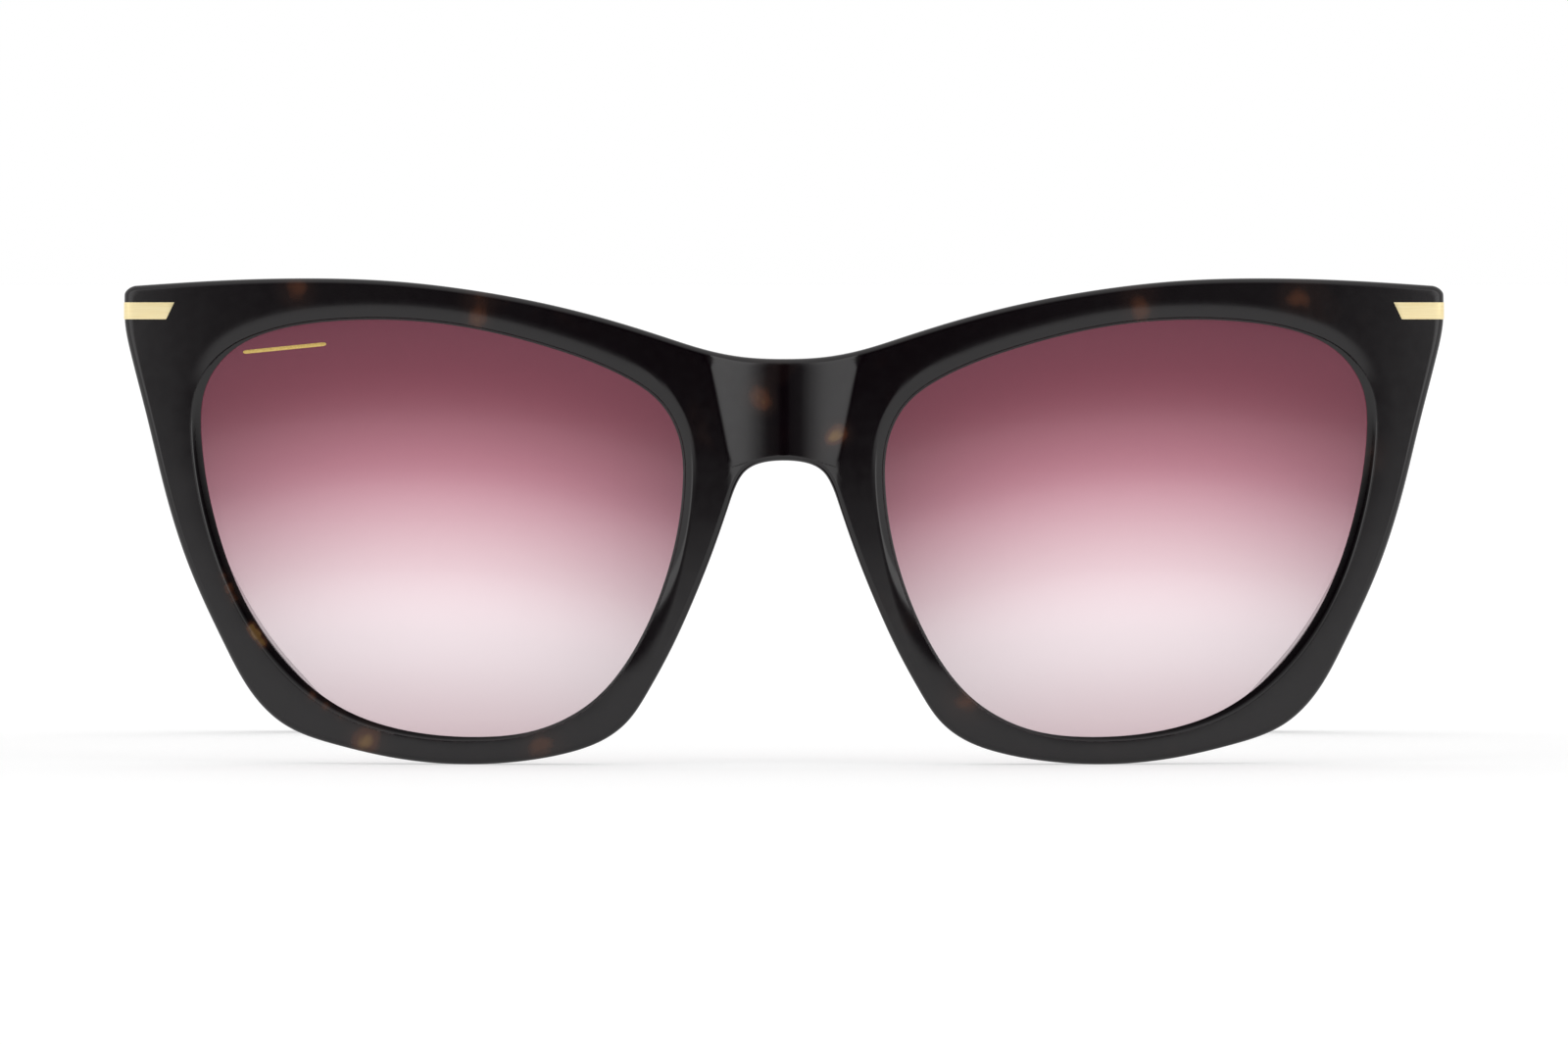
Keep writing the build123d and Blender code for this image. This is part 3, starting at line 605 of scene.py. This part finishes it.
def trim_skin():
    """A strip carried along the corner's plan. At each height its path is the polished face,
    the quarter round and the straight side, and the strip's section is set in from that path
    along its normal. The first and last rings are eased and then closed to a point."""
    ways = np.radians([0, 30, 60, 90])
    eased_in, eased_up = TRIM_EASE * (1 - np.sin(ways)), TRIM_EASE * (1 - np.cos(ways))
    height = TRIM_UPPER_Z - TRIM_LOWER_Z
    inset = np.concatenate([[TRIM_THICKNESS], eased_in, eased_in[::-1], [TRIM_THICKNESS]])
    up = np.concatenate([[0], eased_up, height - eased_up[::-1], [height]])
    z = TRIM_LOWER_Z + up
    start = HALF_WIDTH - np.interp(up, (0, height), TRIM_LENGTHS)
    corner_x = HALF_WIDTH - FRONT_EDGE_RADIUS
    flat = np.linspace(0, 1, 12)[:, None]
    turn = np.radians(np.linspace(0, 90, 10))[1:, None]
    x_flat = start + (corner_x - start) * flat
    x_turn = corner_x + FRONT_EDGE_RADIUS * np.sin(turn) + 0 * z
    x = np.vstack([x_flat, x_turn])
    y = face_y(x) + crown(z) + rounded(HALF_WIDTH - x, FRONT_EDGE_RADIUS)
    back = np.linspace(0, 1, 9)[1:, None]
    y = np.vstack([y, y[-1] + (TRIM_BACK_Y - y[-1]) * back])
    x = np.vstack([x, np.broadcast_to(x[-1], (len(back), len(z)))])
    path = np.stack([x, y], axis=-1)
    ahead = np.gradient(path, axis=0)
    ahead /= np.linalg.norm(ahead, axis=-1, keepdims=True)
    inward = np.stack([-ahead[..., 1], ahead[..., 0]], axis=-1)
    strip = path + inward * (inset - TRIM_PROUD)[:, None]
    strip = np.concatenate([strip, np.broadcast_to(z[:, None], strip.shape[:2] + (1,))], axis=-1)
    middle = strip.mean(axis=1, keepdims=True)
    eased_rings = middle + (strip - middle) * (1 - TRIM_EASE / height)
    strip[[0, -1]] += (strip[[1, -2]] - strip[[0, -1]]) * TRIM_END_SLANT
    poles = middle + 0 * strip
    return np.concatenate([poles[:1], eased_rings[:1], strip, eased_rings[-1:], poles[-1:]])


def make_gold():
    """Satin pale gold plate, brushed along the strip: a noise stretched along it moves the
    gloss and raises a faint grain."""
    material, tree, shader, place = new_material("satin_gold")
    stretched = node(tree, "Mapping", None, Vector=place, Scale=(300.0, 300.0, 9000.0))
    grain = node(tree, "TexNoise", None, Vector=stretched.outputs[0], Scale=1.0, Detail=3.0)
    tone = ramp(tree, grain.outputs[0], [(0.25, (0.94, 0.78, 0.43)), (0.75, (1.0, 0.87, 0.54))])
    tree.links.new(tone, shader.inputs["Base Color"])
    gloss = node(tree, "MapRange", None, Value=grain.outputs[0], To_Min=0.36, To_Max=0.5)
    tree.links.new(gloss.outputs[0], shader.inputs["Roughness"])
    bump = node(tree, "Bump", None, Height=grain.outputs[0], Strength=0.15, Distance=0.00002)
    tree.links.new(bump.outputs[0], shader.inputs["Normal"])
    shader.inputs["Metallic"].default_value = 0.85
    return material


gold = make_gold()
trim_points = trim_skin()
trim_faces = grid_faces(*trim_points.shape[:2], close_columns=True)
for wearer_side, sign in (("right", -1), ("left", 1)):
    make_piece(f"{wearer_side}_gold_trim", trim_points * (sign, 1, 1), trim_faces, gold,
               "front", [f"{wearer_side}_corner_trim"])

# ---- nose pads ------------------------------------------------------------------------------
# Each pad is a small wedge of the same acetate, glued to the back of the rim beside the nose
# and polished into one smooth crown.

PAD_LINE = [(8.6, 26.3), (10.5, 20.6), (12.7, 15.2), (15.2, 10.6)]
PAD_HALF_WIDTHS = [(0, 1.2), (0.33, 1.55), (0.67, 1.6), (1, 1.3)]   # at shares of the line
PAD_HEIGHT = 4.2
PAD_SINK = 0.1               # its foot in the rim's glued face
PAD_POWER = 0.75             # 1 is an ellipse, and less fills its corners


def pad_skin():
    """A bent super-ellipsoid: rings shrink from the foot's outline to its middle while their
    height rises as the cube root of one less the cube of their size. The foot closes it."""
    line = line_through(PAD_LINE, 60, ((0.3, -1), (0.5, -1)))
    side_way = right_of(line)
    width_place, width = np.array(PAD_HALF_WIDTHS).T
    around = np.linspace(0, 2 * np.pi, 73)[:-1]
    along = np.sign(np.cos(around)) * np.abs(np.cos(around)) ** PAD_POWER
    across = np.sign(np.sin(around)) * np.abs(np.sin(around)) ** PAD_POWER
    foot = np.concatenate([[0], np.linspace(0.3, 1, 4)])
    dome = np.sin(np.radians(np.linspace(88, 0, 24)))
    size = np.concatenate([foot, dome])
    lift = np.concatenate([0 * foot, (1 - dome ** 3) ** (1 / 3)])
    place = 0.5 + 0.5 * size[:, None] * along
    index = place * (len(line) - 1)
    samples = np.arange(len(line))
    middle = np.stack([np.interp(index, samples, line[:, axis]) for axis in (0, 1)], axis=-1)
    out = np.stack([np.interp(index, samples, side_way[:, axis]) for axis in (0, 1)], axis=-1)
    reach = size[:, None] * across * np.interp(place, width_place, width)
    flat = middle + out * reach[..., None]
    y = face_y(flat[..., 0], FRONT_THICKNESS) - PAD_SINK + (PAD_HEIGHT + PAD_SINK) * lift[:, None]
    return np.stack([flat[..., 0], y, flat[..., 1]], axis=-1)


pad_points = pad_skin()
pad_faces = grid_faces(*pad_points.shape[:2], close_columns=True)
for wearer_side, sign in (("right", -1), ("left", 1)):
    make_piece(f"{wearer_side}_polished_pad", pad_points * (sign, 1, 1), pad_faces, acetate,
               "front", [f"{wearer_side}_nose_pad"], crease=60)

# ---- hinges ---------------------------------------------------------------------------------
# Five-barrel hinges of nickel silver, with leaves sunk in the lug and the temple and a slotted
# screw as the pin. Their machined shapes are the CAD model's own.


def make_nickel():
    """Tumbled nickel silver: a fine noise in its gloss and a faint machined grain."""
    material, tree, shader, place = new_material("nickel_silver")
    stretched = node(tree, "Mapping", None, Vector=place, Scale=(500.0, 500.0, 6000.0))
    grain = node(tree, "TexNoise", None, Vector=stretched.outputs[0], Scale=1.0, Detail=4.0)
    tone = ramp(tree, grain.outputs[0], [(0.2, (0.5, 0.48, 0.45)), (0.8, (0.66, 0.64, 0.6))])
    tree.links.new(tone, shader.inputs["Base Color"])
    gloss = node(tree, "MapRange", None, Value=grain.outputs[0], To_Min=0.22, To_Max=0.42)
    tree.links.new(gloss.outputs[0], shader.inputs["Roughness"])
    bump = node(tree, "Bump", None, Height=grain.outputs[0], Strength=0.1, Distance=0.00002)
    tree.links.new(bump.outputs[0], shader.inputs["Normal"])
    shader.inputs["Metallic"].default_value = 1.0
    return material


def finish_nodes(material, names):
    """The material on every slot of the named CAD nodes, which stay as they are."""
    for name in names:
        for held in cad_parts[name].material_slots:
            held.material = material


finish_nodes(make_nickel(), [f"{wearer_side}_{part}" for wearer_side in ("left", "right")
                             for part in ("front_hinge", "temple_hinge", "hinge_screw")])

# ---- temples --------------------------------------------------------------------------------
# Each arm is a strip of the front's acetate over a core wire, with flat sides and round edges.
# It slims towards the ear, bends down behind it and bows in, to end in a round tip.

TEMPLE_X = 68.1              # middle of the arm, before it bows in
TEMPLE_HALF_THICKNESS = 1.87
TEMPLE_EDGE_RADIUS = 1.1
HINGE_Z = 46.15
BUTT_Y = JOINT_Y + 0.05      # the arm's square end closes against the lug
BUTT_EASE = (0.15, 0.96)     # its edge is taken off: over this length, to this share
TILT = np.radians(9.0)       # the arm runs down by this much
TURN_LENGTH = 15.0           # from plumb at the butt to square with the arm
BEND_Y = 110.0
EAR_BEND_RADIUS = 24.0
TIP_RADIUS = 4.1
TIP_POWER = 0.4              # the lower, the later the tip thins
TIP_MIDDLE = (143.9, 4.1)
# half the arm's height at shares of its length
TEMPLE_HEIGHTS = [(0.0, 4.75), (0.3, 3.75), (0.55, 3.2), (0.68, 3.1), (0.8, 3.5), (0.92, 4.05),
                  (1.0, 4.1)]
HINGE_COVER_Z = 50.3         # its top is lifted to this height, to cover the hinge leaf,
HINGE_COVER_RISE = 2.2       # by at most this,
HINGE_COVER_Y = (24.0, 80.0)     # and between these two places the lift fades out
HINGE_COVER_BLEND = 0.5
# how far it bows in, and at which height
TEMPLE_BOW = [(0, 33.0), (1.2, 24.5), (4.0, 16.8), (8.3, 9.2), (12.5, 4.1), (17.0, -0.5)]
TEMPLE_SPOTS = 26            # light patches on each arm


def arm_line():
    """The middle of the arm seen from the side: two straight runs, and between them an arc
    that touches both."""
    start = np.array([JOINT_Y - FRONT_THICKNESS, HINGE_Z + np.tan(TILT) * FRONT_THICKNESS])
    bend = np.array([BEND_Y, HINGE_Z - np.tan(TILT) * (BEND_Y - JOINT_Y)])
    tip = np.array(TIP_MIDDLE)
    run = (bend - start) / np.linalg.norm(bend - start)
    drop = (tip - bend) / np.linalg.norm(tip - bend)
    turning = np.arccos(run @ drop)
    length = EAR_BEND_RADIUS * np.tan(turning / 2)
    first = bend - run * length
    down = np.array([run[1], -run[0]])
    turn = np.linspace(0, turning, 60)[:, None]
    arc = first + EAR_BEND_RADIUS * (run * np.sin(turn) + down * (1 - np.cos(turn)))
    ahead = np.linspace(0, 1, 120)[:, None]
    line = np.vstack([start + (first - start) * ahead, arc[1:-1],
                      arc[-1] + (tip - arc[-1]) * ahead])
    place = np.concatenate([[0], np.cumsum(np.linalg.norm(np.diff(line, axis=0), axis=1))])
    return line, place


def rounded_section():
    """A rectangle with round corners as four arrays, one value for each point round it: how
    far up and out its straight parts lie, in halves, and the corner's own up and out."""
    turn = np.radians(np.linspace(0, 90, 7))
    flat_up, flat_out = np.linspace(1, -1, 9)[1:-1], np.linspace(1, -1, 4)[1:-1]
    parts = []
    for quadrant, (up, out) in enumerate(((1, 1), (1, -1), (-1, -1), (-1, 1))):
        ways = turn + quadrant * np.pi / 2
        parts.append((np.full(7, up), np.full(7, out), np.sin(ways), np.cos(ways)))
        level = quadrant % 2 == 0
        flat = flat_out if level else flat_up
        sign = 1 if quadrant < 2 else -1
        along = flat * sign
        fixed = np.full(len(flat), sign if level else -sign)
        straight = (fixed, along) if level else (along, fixed)
        parts.append((*straight, fixed * level, fixed * (not level)))
    return [np.concatenate(column) for column in zip(*parts)]


def temple_skin():
    """The rounded section carried along the arm's side line: its half height follows the
    arm's, and its upright direction turns from plumb at the butt to square with the line. Its
    upper half is lifted over the hinge leaf by what it is short of the cover's height, softly
    cut off at nothing and at the greatest rise. The points then move in by the bow at their
    height, and out as the leaning band's width does."""
    line, place = arm_line()
    samples = np.arange(len(line))
    butt = np.interp(BUTT_Y, line[:, 0], place)
    run = butt + (place[-1] - butt) * np.linspace(0, 1, 190)
    run = np.concatenate([[butt, butt, butt + BUTT_EASE[0]], run[1:]])
    scale = np.ones(len(run))
    scale[:2] = 0, BUTT_EASE[1]
    spot = np.interp(run, place, samples)
    middle = np.column_stack([np.interp(spot, samples, line[:, axis]) for axis in (0, 1)])
    ahead = np.gradient(line, axis=0)
    ahead /= np.linalg.norm(ahead, axis=1, keepdims=True)
    ahead = np.column_stack([np.interp(spot, samples, ahead[:, axis]) for axis in (0, 1)])
    heights = line_through([(share * place[-1], half) for share, half in TEMPLE_HEIGHTS], 400,
                           ((1, 0), (1, 0)))
    half = np.interp(run, heights[:, 0], heights[:, 1])
    swing = np.radians(np.linspace(0, 90, 15))[1:]
    middle = np.vstack([middle, middle[-1] + ahead[-1] * TIP_RADIUS * np.sin(swing)[:, None]])
    half = np.concatenate([half, TIP_RADIUS * np.cos(swing)]).clip(0)
    thick = TEMPLE_HALF_THICKNESS * np.concatenate([np.ones(len(run)),
                                                    np.cos(swing).clip(0) ** TIP_POWER])
    scale = np.concatenate([scale, np.ones(len(swing))])
    square = ease(middle[:, :1] - BUTT_Y, 0, TURN_LENGTH)
    ahead = np.vstack([ahead, np.broadcast_to(ahead[-1], (len(swing), 2))])
    up = (1 - square) * (0, 1) + square * np.column_stack([-ahead[:, 1], ahead[:, 0]])
    up /= np.linalg.norm(up, axis=1, keepdims=True)
    edge = np.minimum(TEMPLE_EDGE_RADIUS, np.minimum(half, thick))
    flat_up, flat_out, round_up, round_out = rounded_section()
    short = HINGE_COVER_Z - (middle[:, 1] + half)
    lift = 0.5 * (short + np.hypot(short, HINGE_COVER_BLEND))
    lift = HINGE_COVER_RISE * np.tanh(lift / HINGE_COVER_RISE)
    lift *= 1 - ease(middle[:, 0], *HINGE_COVER_Y)
    rise = (flat_up * (half - edge)[:, None] + round_up * edge[:, None]) * scale[:, None]
    rise = rise + lift[:, None] * (0.5 + 0.5 * flat_up)
    out = (flat_out * (thick - edge)[:, None] + round_out * edge[:, None]) * scale[:, None]
    y = middle[:, :1] + rise * up[:, :1]
    z = middle[:, 1:] + rise * up[:, 1:]
    bow = line_through(TEMPLE_BOW, 300, ((0, -1), (0.72, -0.70)))[::-1]
    lean = np.arctan(-np.gradient(bow[:, 0]) / np.gradient(bow[:, 1]))
    inward = np.interp(z, bow[:, 1], bow[:, 0])
    x = TEMPLE_X - inward + out / np.cos(np.interp(z, bow[:, 1], lean))
    return np.stack([x, y, z], axis=-1)


temple_points = temple_skin()
temple_faces = grid_faces(*temple_points.shape[:2], close_columns=True)
dice = np.random.default_rng(11)
for wearer_side, sign in (("right", -1), ("left", 1)):
    arm = make_piece(f"{wearer_side}_acetate_temple", temple_points * (sign, 1, 1), temple_faces,
                     acetate, f"{wearer_side}_temple_body", [f"{wearer_side}_temple"])
    chosen = dice.integers(0, temple_points[..., 0].size, TEMPLE_SPOTS)
    spots = temple_points.reshape(-1, 3)[chosen]
    paint_amber(arm, spots * (sign, 1, 1), dice.uniform(1.2, 3.6, TEMPLE_SPOTS),
                dice.uniform(0.2, 0.8, TEMPLE_SPOTS))

# ---- core wires -----------------------------------------------------------------------------
# A flat drawn steel wire is shot into each arm while the acetate is warm, to keep its bend. It
# lies wholly inside the acetate.


def make_wire():
    """Drawn steel: bright along its length, with drawing lines."""
    material, tree, shader, place = new_material("drawn_steel")
    lines = node(tree, "TexNoise", None, Vector=place, Scale=2500.0, Detail=2.0)
    tone = ramp(tree, lines.outputs[0], [(0.3, (0.42, 0.42, 0.43)), (0.7, (0.58, 0.58, 0.59))])
    tree.links.new(tone, shader.inputs["Base Color"])
    gloss = node(tree, "MapRange", None, Value=lines.outputs[0], To_Min=0.25, To_Max=0.4)
    tree.links.new(gloss.outputs[0], shader.inputs["Roughness"])
    shader.inputs["Metallic"].default_value = 1.0
    return material


finish_nodes(make_wire(), ["left_temple_core", "right_temple_core"])

# ---- studio ---------------------------------------------------------------------------------
# A white table under a pale tent, with a dark opening in the tent where the camera looks in.
# Polished acetate mirrors that opening, which is what makes a dark front look dark. A soft
# strip lamp on each side is mirrored in the flanks of the bridge's scoop.

TENT_LEVEL = 1.0
OPENING_SIDE = np.radians((27, 40))      # how far round the dark is full, and where it is gone
OPENING_TOP = np.sin(np.radians((12, 75)))       # and how far up
OPENING_START = np.sin(np.radians((0.0, 1.0)))   # it starts this far up, ahead and aside,
OPENING_FULL = np.sin(np.radians((0.8, 2.8)))    # and is full here
OPENING_TURN = np.radians((2, 25))       # what counts as ahead and as aside
OPENING_GLOW = 0.12          # light left in it, aside
TABLE_REACH = 40.0
TABLE_PAINT = 0.55
TABLE_GLOW = 0.48
STRIP_SIZE = (0.5, 0.9)
STRIP_PLACE = (1.05, -1.06, 0.3)
STRIP_POWERS = {"left_strip": (-1, 1.2), "right_strip": (1, 1.5)}    # side and watts
STRIP_AIM = (0, -0.03, 0.03)
CAMERA_DISTANCE = 2.0
CAMERA_TILT = np.radians(0.8)
VIEW_WIDTH = 0.168           # width in view at the front
VIEW_HEIGHT = 0.026          # height that the camera aims at


def light_rays_seen(tree):
    """1 for the rays that look at the background: from the camera and through a lens."""
    path = node(tree, "LightPath")
    return maths(tree, "MAXIMUM", path.outputs["Is Camera Ray"],
                 path.outputs["Is Transmission Ray"])


world = bpy.data.worlds.new("tent")
world.use_nodes = True
bpy.context.scene.world = world
sky = world.node_tree
sky.nodes.clear()
direction = node(sky, "TexCoord").outputs["Generated"]
towards = node(sky, "SeparateXYZ", None, Vector=direction).outputs
ahead = maths(sky, "MULTIPLY", towards[1], -1.0)
azimuth = maths(sky, "ARCTAN2", maths(sky, "ABSOLUTE", towards[0]), ahead)


def fade(value, start, end, low=0.0, high=1.0):
    """A smooth S from low to high while the value goes from start to end, in the sky."""
    return node(sky, "MapRange", {"interpolation_type": "SMOOTHSTEP"}, Value=value,
                From_Min=start, From_Max=end, To_Min=low, To_Max=high).outputs[0]


aside = fade(azimuth, *OPENING_TURN)
start, full = (maths(sky, "MULTIPLY_ADD", aside, ends[1] - ends[0], ends[0])
               for ends in (OPENING_START, OPENING_FULL))
from_foot = fade(towards[2], start, full)
to_top = fade(towards[2], *OPENING_TOP, 1, 0)
to_side = fade(azimuth, *OPENING_SIDE, 1, 0)
depth = maths(sky, "MULTIPLY_ADD", aside, -OPENING_GLOW, 1.0)
dark = maths(sky, "MULTIPLY", maths(sky, "MULTIPLY", from_foot, to_top),
             maths(sky, "MULTIPLY", to_side, depth))
tent = maths(sky, "MULTIPLY", maths(sky, "SUBTRACT", 1.0, dark), TENT_LEVEL)
level = node(sky, "Mix", {"data_type": "FLOAT"}, Factor=light_rays_seen(sky), A=tent, B=1.0)
shine = node(sky, "Background", None, Color=(1, 1, 1, 1), Strength=level.outputs[0])
node(sky, "OutputWorld", None, Surface=shine.outputs[0])

floor_mesh = bpy.data.meshes.new("table")
floor_mesh.from_pydata([(x * TABLE_REACH, y * TABLE_REACH, 0)
                        for x, y in ((-1, -1), (1, -1), (1, 1), (-1, 1))], [], [(0, 1, 2, 3)])
floor = bpy.data.objects.new("table", floor_mesh)
bpy.context.scene.collection.objects.link(floor)
table, tree, shader, _ = new_material("table_paint")
shader.inputs["Roughness"].default_value = 0.8
shader.inputs["Specular IOR Level"].default_value = 0.1
shader.inputs["Base Color"].default_value = (TABLE_PAINT, TABLE_PAINT, TABLE_PAINT, 1)
path = node(tree, "LightPath")
seen = maths(tree, "MAXIMUM", light_rays_seen(tree), path.outputs["Is Glossy Ray"])
glow = node(tree, "Emission", None, Color=(1, 1, 1, 1),
            Strength=maths(tree, "MULTIPLY", seen, TABLE_GLOW))
both = node(tree, "AddShader", None, i0=shader.outputs[0], i1=glow.outputs[0])
tree.links.new(both.outputs[0], tree.nodes["Material Output"].inputs["Surface"])
floor_mesh.materials.append(table)

for name, (sign, power) in STRIP_POWERS.items():
    lamp = bpy.data.lights.new(name, "AREA")
    lamp.shape = "RECTANGLE"
    lamp.size, lamp.size_y = STRIP_SIZE
    lamp.energy = power
    holder = bpy.data.objects.new(name, lamp)
    holder.location = np.array(STRIP_PLACE) * (sign, 1, 1)
    aim = np.array(holder.location) - STRIP_AIM
    holder.rotation_euler = (np.arctan2(np.hypot(aim[0], aim[1]), aim[2]), 0,
                             np.arctan2(aim[0], -aim[1]))
    bpy.context.scene.collection.objects.link(holder)

optics = bpy.data.cameras.new("camera")
optics.lens = optics.sensor_width * CAMERA_DISTANCE / VIEW_WIDTH
optics.clip_end = 100.0
camera = bpy.data.objects.new("camera", optics)
camera.location = (0, FRONT_Y * 0.001 - CAMERA_DISTANCE * np.cos(CAMERA_TILT),
                   VIEW_HEIGHT + CAMERA_DISTANCE * np.sin(CAMERA_TILT))
camera.rotation_euler = (np.pi / 2 - CAMERA_TILT, 0, 0)
bpy.context.scene.collection.objects.link(camera)
bpy.context.scene.camera = camera
bpy.context.scene.view_settings.view_transform = "Standard"
